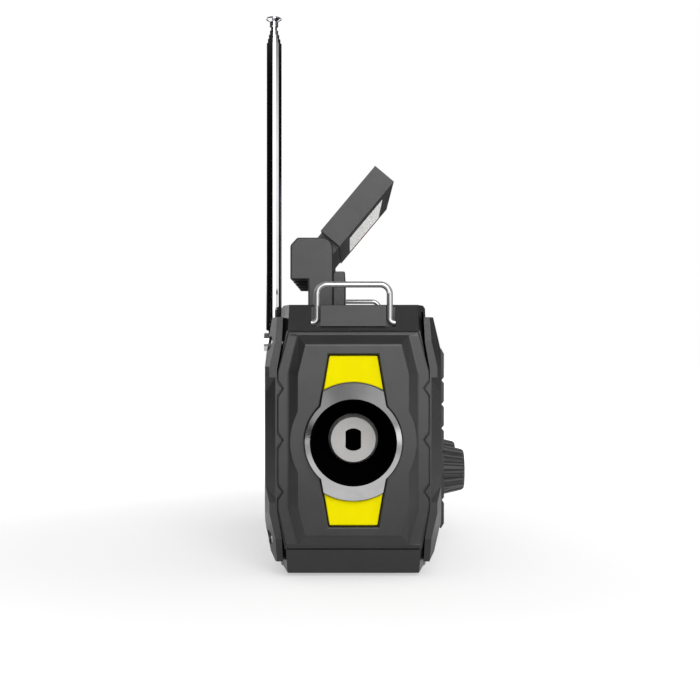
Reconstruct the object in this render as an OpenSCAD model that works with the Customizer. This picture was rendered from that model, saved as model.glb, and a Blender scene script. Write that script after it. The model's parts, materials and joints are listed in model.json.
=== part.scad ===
// Emergency radio with a hand crank, a flashlight, a flip-up lamp and a telescopic antenna.
// X runs along the body, the front faces -Y, Z is up, and the origin is under the middle of the base.

/* [Body] */
// Length between the faces of the two end plates
body_l = 203; // [195:1:220]
// Height of the chassis without its feet
body_h = 118; // [114:1:126]
// Width of the chassis between the two shells
chassis_w = 66.4; // [65:0.2:72]
// Wall of the moulded shells
wall = 2.2; // [1.6:0.1:2.6]
// Thickness of the top and bottom decks
deck_t = 3; // [2:0.1:4]
// How far the top and bottom of each end slope back
end_slope = 8; // [6:0.5:10]
// Height of the sloped band over and under each end plate
slope_h = 11.7; // [10:0.1:13]
// Height of the rubber feet
foot_h = 1.5; // [1:0.1:3]
// Radius of the rubber feet
foot_r = 6; // [4:0.5:8]

/* [Shells] */
// How far the front shell stands out from the chassis
front_d = 5.3; // [4.6:0.1:7]
// How far the rear shell stands out from the chassis
rear_d = 5.6; // [5:0.1:8]
// How far the shells stop short of the end plate faces
shell_in = 1; // [0.5:0.1:1.6]
// Thickness of the front bezel
bezel_t = 1.8; // [1.5:0.1:3]
// How far the ends of the front bezel lie inside the ends of the body
bezel_inset = 13.5; // [11.5:0.5:17.5]
// Spacing of the V-grooves on the bezel
groove_pitch = 10.67; // [9:0.01:11]
// Depth of the V-grooves on the bezel
groove_d = 1.05; // [0.6:0.05:1.3]

/* [End plates] */
// Thickness of the end plates
plate_t = 3; // [2.4:0.1:4]
// Height of the raised middle panel over the plate
raise = 3.5; // [3:0.1:5]
// Width of the sloping border of the raised panel
band_w = 4.2; // [3:0.1:5]
// Depth of the notches in the sides of the plate
notch_d = 2.3; // [1.5:0.1:3]
// Spacing of the notches
notch_pitch = 22.4; // [18:0.1:23]

/* [Flashlight] */
// Radius of the flashlight barrel at its base
barrel_r = 20.8; // [19.5:0.1:22]
// How far the barrel stands out from the end plate
barrel_out = 9; // [8:0.5:12]
// Depth of the bowl from the front of the barrel to the lamp holder
bowl_depth = 26.8; // [25:0.1:29]
// Radius of the lamp holder
holder_r = 11.2; // [10:0.1:12]
// Reach of the bezel wings from the lamp axis
wing_r = 25.2; // [24:0.1:27]
// Length of each yellow insert beyond the wings
insert_l = 12; // [8:0.1:13]

/* [Crank] */
// Distance from the crank axis to the fold of the grip
crank_r = 36; // [34:0.5:38]
// Thickness of the crank arm
arm_t = 8; // [7:0.5:10]
// Radius of the grip
grip_r = 5.2; // [4.6:0.1:5.4]
// Radius of the crank shaft
shaft_r = 4; // [3:0.1:5]
// Module of the crank gear and the idler pinion
coarse_module = 0.9; // [0.88:0.01:0.92]
// Module of the idler gear and the generator pinion
fine_module = 0.7; // [0.66:0.01:0.72]
// Radius of the generator
generator_r = 12; // [10:0.5:12]
// Length of the generator
generator_l = 28; // [24:1:34]

/* [Dial and knobs] */
// Distance of each knob from the middle of the front
knob_x = 26; // [24:0.5:28]
// Largest radius of a knob
knob_r = 12.2; // [11:0.1:13]
// Radius of the front of a knob
knob_front_r = 9.3; // [8:0.1:10.5]
// Length of a knob
knob_l = 13.6; // [12:0.1:18]
// Number of flutes round a knob
knob_flutes = 18; // [12:1:24]
// Width of the dial window
window_w = 79; // [70:1:82]
// Height of the dial window
window_h = 26; // [22:1:28]
// Radius of the speaker
speaker_r = 24; // [21:0.5:24.5]

/* [Antenna] */
// Radius of the outer antenna tube
antenna_r = 3.58; // [3.3:0.01:4]
// How far each antenna section stands out of the one before it
antenna_step = 2; // [1.5:0.1:3]
// Wall of the antenna tubes
antenna_wall = 0.48; // [0.4:0.005:0.5]

/* [Handle and lamp] */
// Length of the handle and the lamp head
handle_l = 115; // [100:1:125]
// Height of the lamp hinge over the top deck
hinge_h = 27.6; // [26:0.1:34]
// Width of the handle block
block_w = 20; // [18:0.5:24]
// Width of the lamp head
head_w = 39.7; // [34:0.1:44]
// Thickness of the lamp head
head_t = 11.5; // [10:0.1:11.6]
// How far the lamp head is raised from flat
lamp_angle = 50; // [0:1:95]
// Radius of the wire of the strap loops
wire_r = 1.35; // [1:0.05:1.45]
// Half the width of a strap loop
loop_hw = 15.95; // [15:0.05:17]
// Rise of a strap loop over its pivot
loop_h = 16.8; // [14:0.1:20]

/* [Hidden] */
$fn = 48;

// Clearances: between moulded parts, round a running shaft, and between parts that must not rub
seam = 0.3;
running = 0.05;
clear = 0.6;
overlap = 1;

// Main planes
foot_in_x = 22;
foot_in_y = 13;
end_x = body_l / 2;
half_w = chassis_w / 2;
half_h = body_h / 2;
mid_z = foot_h + half_h;
top_z = foot_h + body_h;
front_y = -half_w - front_d;
front_in_y = front_y + wall;
bezel_y = front_y - bezel_t;
rear_y = half_w + rear_d;
inner_h = half_h - deck_t;
end_wall = 3;
inner_x = end_x - plate_t - end_wall;
axis_h = -0.5;

// Outline of an end plate, notches included, and of its raised panel
plate_hw = half_w - seam;
plate_hh = half_h - slope_h;
plate_lip = 0.8;
plate_bevel_h = 2.1;
plate_top_in = 4.6;
plate_foot_in = 3.8;
plate_knee = 29.8;
notch_hh = 3.6;
notches = [notch_pitch, 0, -notch_pitch];
band_hw = plate_hw - 4.8;
band_hh = plate_hh - plate_bevel_h + 0.4;
band_in = 4.2;
band_knee = 29;
boss_r = 27.3;
recess_d = 2.7;
insert_gap = 0.55;
recess_hh = min(wing_r + insert_l, band_hh - band_w - 1.5);
recess_hw = 10.8;
recess_spread = 0.169;
recess_x = end_x + raise - recess_d;

// Shell profiles as distance from the chassis side and height from the middle
shell_top = half_h - 5.5;
shell_knee = 39.5;
front_profile = [[0, shell_top], [front_d - 3.3, shell_top], [front_d, shell_knee], [front_d, 2 - shell_knee],
    [front_d - 0.6, 0.6 - shell_knee], [front_d - 2.9, 4.1 - shell_top], [front_d - 4.4, 1.5 - shell_top],
    [0, -shell_top]];
rear_profile = [[0, shell_top], [rear_d - 3, shell_top], [rear_d - 0.6, shell_knee - 1.3], [rear_d, 31.5],
    [rear_d, -35.5], [rear_d - 0.4, 0.5 - shell_knee], [rear_d - 2.4, 4 - shell_top],
    [rear_d - 4.6, -shell_top], [0, -shell_top]];
shell_x = end_x - shell_in;
shell_end = 10;
shell_flat = half_h - 16;
shell_slope = 6.5;
facet_in = 0.7;
facet_hh = notch_pitch + notch_hh + 1.2;
strip_w = 3.3;
corner_turn = 15.4;
corner_tilt = 11.3;

// Flashlight
barrel_bore = barrel_r - 1.6;
barrel_lip_r = barrel_bore - 0.6;
barrel_front = end_x + barrel_out;
cone_slope = 0.65;
bowl_r = barrel_bore - running;
bowl_t = 1.2;
bowl_front = barrel_front - 1;
holder_x = barrel_front - bowl_depth;
holder_front = holder_x + 7.7;
holder_front_r = holder_r - 1.35;
holder_t = 1.4;
floor_t = 1.5;
slot_w = 6.9;
slot_h = 10;
barrel_back = end_x - 4;

// Front controls
knob_h = -20;
bezel_top = shell_knee + 0.3;
bezel_foot = shell_knee + 0.6;
bezel_edge = 0.5;
window_foot = 2.5;
window_lip = 1.5;
window_t = 1.4;
dial_t = 1;
dial_y = front_in_y + dial_t;
dial_slot_h = 3;
dial_slot_z = window_foot + window_lip + 3;
spindle_r = 3;
knob_y = bezel_y - clear;
rack_module = 0.8;
pinion_teeth = 24;
pinion_r = rack_module * pinion_teeth / 2;
rack_y0 = dial_y + 0.4;
rack_t = 1.8;
rack_z = knob_h + pinion_r + 0.1;
pointer_travel = 25;
board_t = 1.6;
board_y = 7.4 - half_w;
unit_t = 4;
button_w = 9;
button_h = 4.6;
button_z = -32.2;
button_pitch = 11.6;
button_travel = 1;
switch_travel = 4;
bezel_l = body_l - 2 * bezel_inset;
speaker_x = speaker_r + clear + shell_end - shell_x;
speaker_z = -1;
speaker_depth = 18;
magnet_r = 15;
magnet_front = 11;
basket_t = 1.5;
coil_r = 9;
board_x0 = speaker_x + speaker_r + 6;
board_x1 = 56;
board_top = 40;
board_foot = -52;
board_posts = [[board_x0 + 3.5, board_top - 4], [board_x1 - 3.5, board_top - 4],
    [board_x0 + 3.5, board_foot + 4], [board_x1 - 3.5, board_foot + 4]];

// Gear train: crank to idler to generator
crank_teeth = 56;
idler_pinion_teeth = 14;
idler_teeth = 48;
rotor_teeth = 12;
gear_slack = 0.28;
gear_gap = 0.1;
coarse_centres = coarse_module * (crank_teeth + idler_pinion_teeth) / 2 + gear_gap;
fine_centres = fine_module * (idler_teeth + rotor_teeth) / 2 + gear_gap;
rotor_angle = 36;
idler_z = axis_h - coarse_centres;
rotor_pos = [fine_centres * cos(rotor_angle), idler_z + fine_centres * sin(rotor_angle)];
gear_t = 5;
crank_gear_x = inner_x - 2.5 - gear_t;
gear_space = 5;
idler_gear_x = crank_gear_x - gear_t - gear_space;
gear_plate_t = 2.5;
gear_plate_space = 8;
gear_plate_x = idler_gear_x - gear_plate_space;
pivot_r = 1.5;
rotor_shaft_r = 1;
gear_plate_hw = half_w - wall;
gear_plate_top = coarse_module * crank_teeth / 2 + 1;
gear_plate_foot = 4 - inner_h;
gear_post_r = 3;
gear_post_y = gear_plate_hw - gear_post_r - 1;

// Crank outside the right end plate
arm_x0 = end_x + raise + clear + 0.2;
arm_x1 = arm_x0 + arm_t;
arm_hw = grip_r + 3.3;
hub_r = 12.5;
grip_x = arm_x0 + arm_t / 2 + max(0, grip_r - arm_t / 2 - 0.2);
grip_z = axis_h - crank_r;
trunnion_r = 1.6;
grip_shaft_r = 2;
grip_start = 5;
grip_end = crank_r - hub_r - 2.6;

// Antenna
rail_y = half_w - 1;
rail_x = inner_x + overlap;
antenna_y = rail_y + 0.88 + antenna_r;
antenna_inset = 35;
antenna_spare = 18;
antenna_x = antenna_inset - end_x;
antenna_h = half_h - 16.5;
knuckle_r = 5;
antenna_sections = 4;
antenna_cap_h = 4.1;
antenna_cap_t = 1.9;
antenna_cap_edge = 0.4;
antenna_pivot_r = 2;
antenna_reach = body_l - antenna_inset - antenna_spare;
antenna_l = antenna_reach - antenna_step * antenna_sections - antenna_cap_h;
antenna_root = 10;
trough_h = antenna_h - knuckle_r - clear;
trough_x0 = antenna_x - knuckle_r - clear;

// Handle and lamp head
hinge_y = 14.9;
hinge_z = top_z + hinge_h;
handle_x = handle_l / 2;
knuckle_w = 6.5;
neck_x = handle_x - knuckle_w - 0.5;
barrel_hinge_r = head_t / 2 - 0.4;
block_front = -barrel_hinge_r;
block_rear = block_front + block_w;
block_h = 19.8;
column_w = 11.6;
post_w = 5.75;
post_h = 17.1;
pin_r = 1.5;
head_gap = 6.4;
head_y0 = -head_gap - head_w;
solar_t = 1.4;
lens_w = 24.9;
lens_t = 2.2;
lens_x0 = 22 - handle_x;
lens_x1 = handle_x - 10;
red_l = 5;
red_w = 10;

// Strap loops
loop_x = end_x - 5.6;
loop_pivot = plate_hh + 3.7;
loop_bend = 4.2;
loop_foot = 2.2;
loop_pin = 4.5;
loop_block_x = end_x - 1;

// Battery
cell_r = 9.2;
cell_l = 65;
cell_x = -10;
cell_pitch = 19.6;
cell_y = 0.6;
holder_h = 10;
door_l = 70;
door_w = 36;
door_y = 10;
door_t = 1.6;

// Ferrite rod held by two clips under the top deck
ferrite_r = 4.5;
ferrite_l = 100;
ferrite_x = -10;
ferrite_y = 10;
ferrite_z = inner_h - 8;
clip_x = 30;
clip_w = 6;

// Ports behind a cover on the rear: x offset, width and height of each socket
port_sockets = [[-12, 9, 3.4], [1, 14, 6.4], [14, 6.4, 6.4]];
port_x = -60;
port_z = -5;
port_w = 44;
port_h = 16;
port_d = 2;
port_pad = 2;
cover_t = 1.8;

// Case screws
screw_r = 1.4;
screw_head_r = 2.8;
screw_head_h = 1.6;
screw_sink = 3;
screw_x = end_x - 7.5;
screw_places = [[-screw_x, shell_flat - 1], [screw_x, shell_flat - 13], [-screw_x, -shell_flat],
    [screw_x, -shell_flat]];
screw_boss_r = 4;
screw_boss_l = 13;

function mirror_points(p) = concat(p, [for (i = [len(p) - 1 : -1 : 0]) [-p[i][0], p[i][1]]]);
function panel_points(hw, hh, in, knee) = mirror_points([[hw - in, hh], [hw, knee], [hw, -knee],
    [hw - in, -hh]]);
function notch_points() = [for (z = notches, p = [[0, notch_hh], [-notch_d, 0], [0, -notch_hh]])
    [plate_hw + p[0], z + p[1]]];
function plate_points() = mirror_points(concat([[plate_hw - plate_top_in, plate_hh], [plate_hw, plate_knee]],
    notch_points(), [[plate_hw, -plate_knee], [plate_hw - plate_foot_in, -plate_hh]]));
function inset(p, t) = [for (q = p) [q[0] > 0 ? max(q[0] - t, 0.1) : -overlap, q[1] - sign(q[1]) * t]];
function recess_at(z) = recess_hw + recess_spread * (recess_hh - abs(z));

// Points of a gear with its first tooth on the first axis
function tooth_turn(half, radius) = half / radius * 180 / PI;
function tooth_steps(r, m) = [[r - 1.15 * m, PI * m / 4 + 0.3 * m], [r, PI * m / 4],
    [r + 0.9 * m, PI * m / 4 - 0.36 * m]];
function gear_points(teeth, m) = let (steps = tooth_steps(teeth * m / 2, m))
    [for (i = [0 : teeth - 1], side = [-1, 1], k = [0 : 2]) let (s = steps[side < 0 ? k : 2 - k],
        a = 360 * i / teeth + side * tooth_turn(s[1] - gear_slack / 2, s[0])) s[0] * [cos(a), sin(a)]];

module along_x(x0, x1) translate([x0, 0, 0]) rotate([90, 0, 90]) linear_extrude(x1 - x0) children();
module along_y(y0, y1) translate([0, y1, 0]) rotate([90, 0, 0]) linear_extrude(y1 - y0) children();
module rod_x(r, x0, x1) translate([x0, 0, 0]) rotate([0, 90, 0]) cylinder(r = r, h = x1 - x0);
module rod_y(r, y0, y1) translate([0, y1, 0]) rotate([90, 0, 0]) cylinder(r = r, h = y1 - y0);
module turned_x() rotate([0, 90, 0]) rotate_extrude() children();
module turned_front() rotate([90, 0, 0]) rotate_extrude() children();
module box(x, y, z) translate([x[0], y[0], z[0]]) cube([x[1] - x[0], y[1] - y[0], z[1] - z[0]]);
module mid() translate([0, 0, mid_z]) children();
module left_end() mirror([1, 0, 0]) children();
module mirrored_x() {
    children();
    mirror([1, 0, 0]) children();
}
module mirrored_y() {
    children();
    mirror([0, 1, 0]) children();
}

// Chassis ring: outline from the side and section across it
module frame_side() polygon([for (sx = [1, -1], p = [[end_slope, half_h], [plate_lip, plate_hh + seam],
    [plate_t, plate_hh + seam], [plate_t, -plate_hh - seam], [plate_lip, -plate_hh - seam],
    [end_slope, -half_h]]) [sx * (end_x - p[0]), sx * p[1]]]);
module frame_inside() polygon([for (sx = [1, -1], p = [[end_slope + deck_t + 2, inner_h],
    [plate_t + end_wall, plate_hh - 4], [plate_t + end_wall, 4 - plate_hh],
    [end_slope + deck_t + 2, -inner_h]]) [sx * (end_x - p[0]), sx * p[1]]]);
module frame_section() polygon(mirror_points([[half_w - 1.9, half_h], [half_w - 0.8, half_h - 1.2],
    [half_w - 0.8, half_h - 7], [half_w, half_h - 14], [half_w, 14 - half_h], [half_w - 0.8, 7 - half_h],
    [half_w - 0.8, 3.4 - half_h], [half_w - 4.6, -half_h]]));
module loop_seat() {
    box([loop_x - wire_r - 0.4, end_x + overlap], [loop_hw - wire_r - 0.4, loop_hw + loop_foot + 0.3],
        [loop_pivot - wire_r - 0.35, half_h + overlap]);
    translate([loop_x, 0, loop_pivot]) rod_y(wire_r + running, loop_hw, loop_hw + loop_pin + 0.5);
}
// Slanted corners of the chassis ends: the space outside each one, moved out by a gap
module corner(inward, gap) translate([end_x - plate_lip, plate_hw - inward + 0.2 + gap, plate_hh])
    rotate([corner_tilt, 0, 0]) rotate([0, 0, -corner_turn]) box([-40, 20], [0, 20], [-40, 40]);
module corner_pair() {
    corner(plate_top_in, 0);
    mirror([0, 0, 1]) corner(plate_foot_in, 0);
}
module ferrite_clip(x) difference() {
    box([x - clip_w / 2, x + clip_w / 2], [ferrite_y - 7, ferrite_y + 7], [ferrite_z - 7, inner_h + overlap]);
    translate([x, ferrite_y, ferrite_z]) rod_x(ferrite_r + running, -clip_w, clip_w);
}
module centre_frame() color("dimgray") mid() difference() {
    union() {
        intersection() {
            along_y(-half_w, half_w) difference() {
                frame_side();
                frame_inside();
            }
            along_x(-end_x, end_x) frame_section();
        }
        mirrored_x() box([inner_x, loop_block_x], [wire_r + 0.4 - loop_hw, loop_hw - wire_r - 0.4],
            [loop_pivot - 1.5, half_h - 0.5]);
        for (p = screw_places) translate([p[0], 0, p[1]])
            rod_y(screw_boss_r, half_w - screw_boss_l, half_w - 0.8);
        box([-rail_x, rail_x], [rail_y - wall, rail_y], [trough_h - 8, inner_h + overlap]);
        mirrored_y() for (z = [-inner_h - overlap, inner_h - 3.6])
            box([-rail_x, rail_x], [half_w - 2, half_w - 0.8], [z, z + 3.6 + overlap]);
        for (side = [-1, 1]) ferrite_clip(ferrite_x + side * clip_x);
    }
    mirrored_x() mirrored_y() loop_seat();
    mirrored_x() mirror([0, 1, 0]) corner_pair();
    left_end() corner_pair();
    for (p = screw_places) translate([p[0], 0, p[1]])
        rod_y(screw_r + running, half_w - screw_boss_l - overlap, half_w + overlap);
    left_end() translate([0, 0, axis_h]) rod_x(barrel_r + seam, inner_x - overlap, end_x);
    translate([0, 0, axis_h]) rod_x(shaft_r + running, inner_x - overlap, end_x);
    translate([0, 0, idler_z]) rod_x(pivot_r + running, inner_x - overlap, inner_x + 2);
    translate([antenna_x, 0, antenna_h]) rod_y(antenna_pivot_r + running,
        rail_y - wall - overlap, rail_y + overlap);
    box([cell_x - door_l / 2, cell_x + door_l / 2], [door_y - door_w / 2, door_y + door_w / 2],
        [-half_h - overlap, door_t - half_h]);
    box([cell_x - door_l / 2 + 3, cell_x + door_l / 2 - 3], [door_y - door_w / 2 + 3, door_y + door_w / 2 - 3],
        [-half_h - overlap, -inner_h + overlap]);
}

// Shells: a profile along the body, cut back at the ends, with wedges that fill the plate notches
module shell_side() polygon([for (sx = [1, -1], p = [[shell_slope, half_h], [0, shell_flat], [0, -shell_flat],
    [shell_slope, -half_h]]) [sx * (shell_x - p[0]), sx * p[1]]]);
module end_facet() intersection() {
    translate([shell_x, half_w + facet_in, -half_h]) linear_extrude(body_h)
        polygon([[overlap, -overlap], [overlap, 2 * rear_d], [-2 * rear_d, 2 * rear_d]]);
    along_y(half_w, half_w + 20) polygon([[shell_x + 2, facet_hh + 3], [shell_x - 8, facet_hh - 12],
        [shell_x - 8, 12 - facet_hh], [shell_x + 2, -facet_hh - 3]]);
}
module end_chamfers() translate([shell_x, half_w, 0]) {
    translate([0, strip_w, 0]) rotate([0, 0, -23.7]) box([-30, 20], [0, 20], [-body_h, body_h]);
    for (s = [-1, 1]) translate([0, facet_in, s * shell_flat]) rotate([s * 13, 0, 0]) rotate([0, 0, -23.7])
        box([-30, 20], [0, 20], [-40, 40]);
}
module corner_fill(inward) intersection() {
    along_x(shell_x - 22, shell_x) polygon([[half_w + 0.2, plate_knee - 0.3], [half_w - 2.1, 42.6],
        [half_w - 2.4, shell_top], [half_w + 0.2, shell_top]]);
    along_y(half_w - 5, half_w + overlap) shell_side();
    corner(inward, seam);
}
module corner_fills() {
    corner_fill(plate_top_in);
    mirror([0, 0, 1]) corner_fill(plate_foot_in);
}
module shell_body(profile) {
    difference() {
        intersection() {
            along_x(-shell_x, shell_x) {
                translate([half_w, 0]) polygon(profile);
                for (s = [-1, 1]) polygon([[half_w + 0.2, s * (half_h - 14)], [half_w, s * (half_h - 14)],
                    [half_w - 0.8, s * (half_h - 7)], [half_w - 0.8, s * shell_top],
                    [half_w + 0.2, s * shell_top]]);
            }
            along_y(half_w - overlap, half_w + 20) shell_side();
        }
        along_x(shell_end - shell_x, shell_x - shell_end) translate([half_w, 0]) polygon(inset(profile, wall));
        mirrored_x() {
            end_facet();
            end_chamfers();
        }
    }
    mirrored_x() for (z = notches) along_x(end_x - plate_t + 0.2, shell_x) polygon([
        [half_w + 0.5, z + notch_hh - 0.2], [plate_hw - notch_d + 2 * seam, z],
        [half_w + 0.5, z - notch_hh + 0.2]]);
}
module front_shell() color("dimgray") mid() difference() {
    union() {
        mirror([0, 1, 0]) {
            shell_body(front_profile);
            mirrored_x() corner_fills();
        }
        for (p = board_posts) translate([p[0], 0, p[1]]) rod_y(3, front_in_y - 0.5, board_y - board_t);
    }
    translate([speaker_x, 0, speaker_z]) rod_y(speaker_r - 3, front_y - overlap, front_in_y + overlap);
    front_cuts(front_y - overlap, front_in_y + overlap, window_lip);
}
module front_cuts(y0, y1, lip) {
    box([lip - window_w / 2, window_w / 2 - lip], [y0, y1], [window_foot + lip, window_foot + window_h - lip]);
    for (x = [-knob_x, knob_x]) translate([x, 0, knob_h]) rod_y(spindle_r + running, y0, y1);
    for (i = [-1 : 1]) box([i * button_pitch - button_w / 2 - seam, i * button_pitch + button_w / 2 + seam],
        [y0, y1], [button_z - button_h / 2 - seam, button_z + button_h / 2 + seam]);
    box([-switch_travel - 2.6, switch_travel + 2.6], [y0, y1], [knob_h - 2 - seam, knob_h + 2 + seam]);
}
module front_bezel() color("slategray") mid() difference() {
    along_x(-bezel_l / 2, bezel_l / 2) polygon([[front_y, bezel_top], [front_y - bezel_edge, bezel_top],
        [bezel_y, bezel_top - 2.4], [bezel_y, 2.2 - bezel_foot], [front_y - bezel_edge, -bezel_foot],
        [front_y, -bezel_foot]]);
    front_cuts(bezel_y - overlap, front_y + overlap, 0);
    mirrored_x() for (i = [-2.5 : 2.5]) along_x(window_w / 2 + 5, bezel_l / 2 + overlap)
        translate([bezel_y, i * groove_pitch - 1]) polygon([[-0.1, -1.4], [groove_d, 0], [-0.1, 1.4]]);
    for (i = [-2 : 2], dz = [-2.3, 0, 2.3]) box([speaker_x - speaker_r + 7, speaker_x + speaker_r - 7],
        [bezel_y - overlap, front_y + overlap], [i * groove_pitch + dz - 1.5, i * groove_pitch + dz - 0.5]);
}
module rear_shell() color("dimgray") mid() difference() {
    union() {
        difference() {
            shell_body(rear_profile);
            box([trough_x0, end_x], [half_w - overlap, rear_y + overlap], [trough_h, half_h]);
        }
        left_end() corner_fills();
        box([trough_x0 - wall, shell_x - shell_end + overlap], [rail_y + 0.2, rear_y - 0.6],
            [trough_h - wall, trough_h]);
        box([trough_x0 - wall, trough_x0], [rail_y + 0.2, rear_y - 3.2], [trough_h - wall, shell_top - 0.2]);
        box([port_x - port_w / 2 - 2, port_x + port_w / 2 + 2],
            [rear_y - wall - port_pad, rear_y - wall + 0.1],
            [port_z - port_h / 2 - 2, port_z + port_h / 2 + 2]);
    }
    for (p = screw_places) translate([p[0], 0, p[1]]) {
        rod_y(screw_r + running, half_w - 5, rear_y + overlap);
        rod_y(screw_head_r + seam, rear_y - screw_sink - screw_head_h, rear_y + overlap);
    }
    box([port_x - port_w / 2, port_x + port_w / 2], [rear_y - port_d, rear_y + overlap],
        [port_z - port_h / 2, port_z + port_h / 2]);
    translate([port_x - port_w / 2 + cover_t / 2 + seam, rear_y - cover_t / 2, port_z - port_h / 2 - 1.5])
        cylinder(r = 0.6 + running, h = port_h + 3);
    for (s = port_sockets) translate([port_x + s[0], 0, port_z])
        box([-s[1] / 2 - seam, s[1] / 2 + seam], [half_w - overlap, rear_y],
            [-s[2] / 2 - seam, s[2] / 2 + seam]);
}

// End plates with a raised middle panel
module end_plate_blank() {
    intersection() {
        along_x(end_x - plate_t, end_x) polygon(plate_points());
        along_y(-half_w, half_w) polygon([[end_x - plate_t, plate_hh], [end_x - plate_lip, plate_hh],
            [end_x, plate_hh - plate_bevel_h], [end_x, plate_bevel_h - plate_hh],
            [end_x - plate_lip, -plate_hh], [end_x - plate_t, -plate_hh]]);
    }
    hull() {
        along_x(end_x - overlap, end_x) polygon(panel_points(band_hw, band_hh, band_in, band_knee));
        along_x(end_x + raise - 0.1, end_x + raise)
            polygon(panel_points(band_hw - band_w, band_hh - band_w, band_in - 1, band_knee - 0.4));
    }
    translate([0, 0, axis_h]) rod_x(boss_r, end_x - overlap, end_x + raise);
}
module recess_area(gap) polygon(mirror_points([for (z = [recess_hh - gap, 0, gap - recess_hh])
    [recess_at(z) - gap * norm([1, recess_spread]), z]]));
module left_end_plate() color("gray") mid() left_end() difference() {
    end_plate_blank();
    along_x(recess_x, end_x + raise + overlap) recess_area(0);
    translate([0, 0, axis_h]) rod_x(barrel_r + seam, end_x - plate_t - overlap, end_x + raise + overlap);
}
module right_end_plate() color("gray") mid() difference() {
    end_plate_blank();
    translate([0, 0, axis_h]) rod_x(shaft_r + running, end_x - plate_t - overlap, end_x + raise + overlap);
}

// Flashlight in the left end
module flashlight_bezel() color("silver") mid() left_end() intersection() {
    translate([0, 0, axis_h]) turned_x() polygon([[barrel_bore, barrel_back], [barrel_r, barrel_back],
        [barrel_r, recess_x], [wing_r, recess_x],
        [wing_r, barrel_front - cone_slope * (wing_r - barrel_lip_r)],
        [barrel_lip_r, barrel_front], [barrel_lip_r, bowl_front], [barrel_bore, bowl_front]]);
    along_x(barrel_back - overlap, barrel_front + overlap) {
        recess_area(insert_gap);
        translate([0, axis_h]) circle(r = barrel_r);
    }
}
function bowl_at(t) = holder_r + 0.3 + (bowl_r - bowl_t - holder_r - 0.3) * sqrt(t);
module flashlight_bowl() color("black") mid() left_end() translate([0, 0, axis_h]) difference() {
    turned_x() polygon(concat([[0, holder_x - floor_t], [0, holder_x]],
        [for (i = [0 : 8]) [bowl_at(i / 8), holder_x + (bowl_front - holder_x) * i / 8]],
        [[bowl_r, bowl_front], [bowl_r, barrel_back], [holder_r + 1.5, holder_x - floor_t]]));
    along_x(holder_x - floor_t - overlap, holder_x + overlap) lamp_slot();
}
module lamp_slot() intersection() {
    circle(d = slot_h);
    square([slot_w, slot_h], center = true);
}
module lamp_holder() color("silver") mid() left_end() translate([0, 0, axis_h]) difference() {
    turned_x() polygon([[holder_r - 1.2, holder_x], [holder_r, holder_x], [holder_front_r, holder_front],
        [0, holder_front], [0, holder_front - holder_t], [holder_front_r - 1.2, holder_front - holder_t]]);
    along_x(holder_x, holder_front + overlap) lamp_slot();
}
module flashlight_led() color("khaki") mid() left_end() translate([0, 0, axis_h]) {
    rod_x(holder_r - 1, holder_x - floor_t - board_t, holder_x - floor_t);
    box([holder_x - floor_t - 0.2, holder_x - floor_t + 0.8], [-1.8, 1.8], [-1.8, 1.8]);
    translate([holder_x - floor_t + 0.6, 0, 0]) rod_x(1.4, 0, 1);
}
module yellow_inserts() color("yellow") mid() left_end() difference() {
    along_x(recess_x, recess_x + 1.6) recess_area(insert_gap);
    translate([0, 0, axis_h]) rod_x(wing_r + insert_gap, recess_x - overlap, recess_x + 3);
}

// Speaker behind the left part of the front
module speaker_basket() color("darkslategray") mid() translate([speaker_x, front_in_y, speaker_z])
    rotate([-90, 0, 0]) rotate_extrude() polygon([[speaker_r - 3, 0], [speaker_r, 0], [speaker_r, basket_t],
        [speaker_r - 1.6, basket_t], [magnet_r - basket_t, magnet_front], [magnet_r, magnet_front],
        [magnet_r, speaker_depth], [0, speaker_depth], [0, magnet_front - 1], [magnet_r - 4, magnet_front - 1],
        [speaker_r - 3.4, 1.6]]);
module speaker_cone() color("black") mid() translate([speaker_x, front_in_y, speaker_z])
    rotate([-90, 0, 0]) rotate_extrude() polygon([[speaker_r - 4.2, 0.7], [speaker_r - 3.6, 1.4],
        [coil_r, magnet_front - 2.6], [coil_r - 4, magnet_front - 1], [0, magnet_front - 1],
        [0, magnet_front - 5.6], [coil_r - 5, magnet_front - 5], [coil_r - 1, magnet_front - 3]]);

// Dial behind its window, and the tuning train
module dial_window() color("lightblue") mid() box([seam - window_w / 2, window_w / 2 - seam],
    [front_y - window_t, front_y], [window_foot + seam, window_foot + window_h - seam]);
module dial_plate() color("ivory") mid() difference() {
    box([-window_w / 2, window_w / 2], [front_in_y, dial_y], [window_foot - 2, window_foot + window_h + 2]);
    box([-pointer_travel - 3, pointer_travel + 3], [front_in_y - overlap, dial_y + overlap],
        [dial_slot_z, dial_slot_z + dial_slot_h]);
}
module rack_outline() {
    pitch = PI * rack_module;
    x0 = knob_x - pointer_travel - 4;
    x1 = knob_x + pointer_travel + 4;
    polygon(concat([[x0, rack_z + 5], [x0, rack_z + 1]],
        [for (i = [-11 : 10], p = [[-0.42, 0.9], [-0.13, -0.9], [0.13, -0.9], [0.42, 0.9]])
            [knob_x + (i + 0.5 + p[0] * 0.85) * pitch, rack_z + p[1] * rack_module]],
        [[x1, rack_z + 1], [x1, rack_z + 5]]));
}
module dial_pointer() color("red") mid() {
    box([-0.6, 0.6], [front_in_y - 1.5, front_in_y - 0.6], [dial_slot_z + 0.4, window_foot + window_h - 3]);
    box([-1.5, 1.5], [front_in_y - 1.5, rack_y0 + rack_t],
        [dial_slot_z + 0.4, dial_slot_z + dial_slot_h - 0.4]);
    box([-6, 6], [rack_y0, rack_y0 + rack_t], [rack_z + 2, dial_slot_z + dial_slot_h + 1]);
    along_y(rack_y0, rack_y0 + rack_t) rack_outline();
}
module spindle(x) translate([x, 0, knob_h]) rod_y(spindle_r, knob_y - knob_l + 3, board_y - board_t - 1);
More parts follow.
